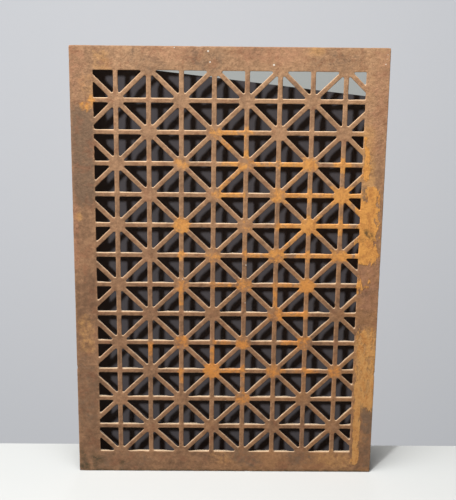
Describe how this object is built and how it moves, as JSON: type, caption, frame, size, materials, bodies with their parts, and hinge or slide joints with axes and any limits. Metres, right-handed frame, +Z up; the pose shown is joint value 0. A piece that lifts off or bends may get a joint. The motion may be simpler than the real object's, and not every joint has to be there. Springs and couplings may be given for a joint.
{
  "type": "cast iron grille",
  "caption": "Flat rectangular cast iron grille with a plain border round an open lattice of eight-pointed stars, for covering a vent or a window opening.",
  "frame": {"origin": "middle of the bottom rail's back, where the border lies against the wall that it is fixed to", "axes": "+Z up along the grille's long side, +X to the right as seen from the front, +Y from the face to the back, so the face looks to -Y"},
  "size_m": [0.5078, 0.01, 0.7509],
  "materials": {
    "rusted_iron": "old brown rust with orange bloom, dry and matt"
  },
  "bodies": {
    "root": {"grille_casting": "rusted_iron"}
  },
  "joints": []
}
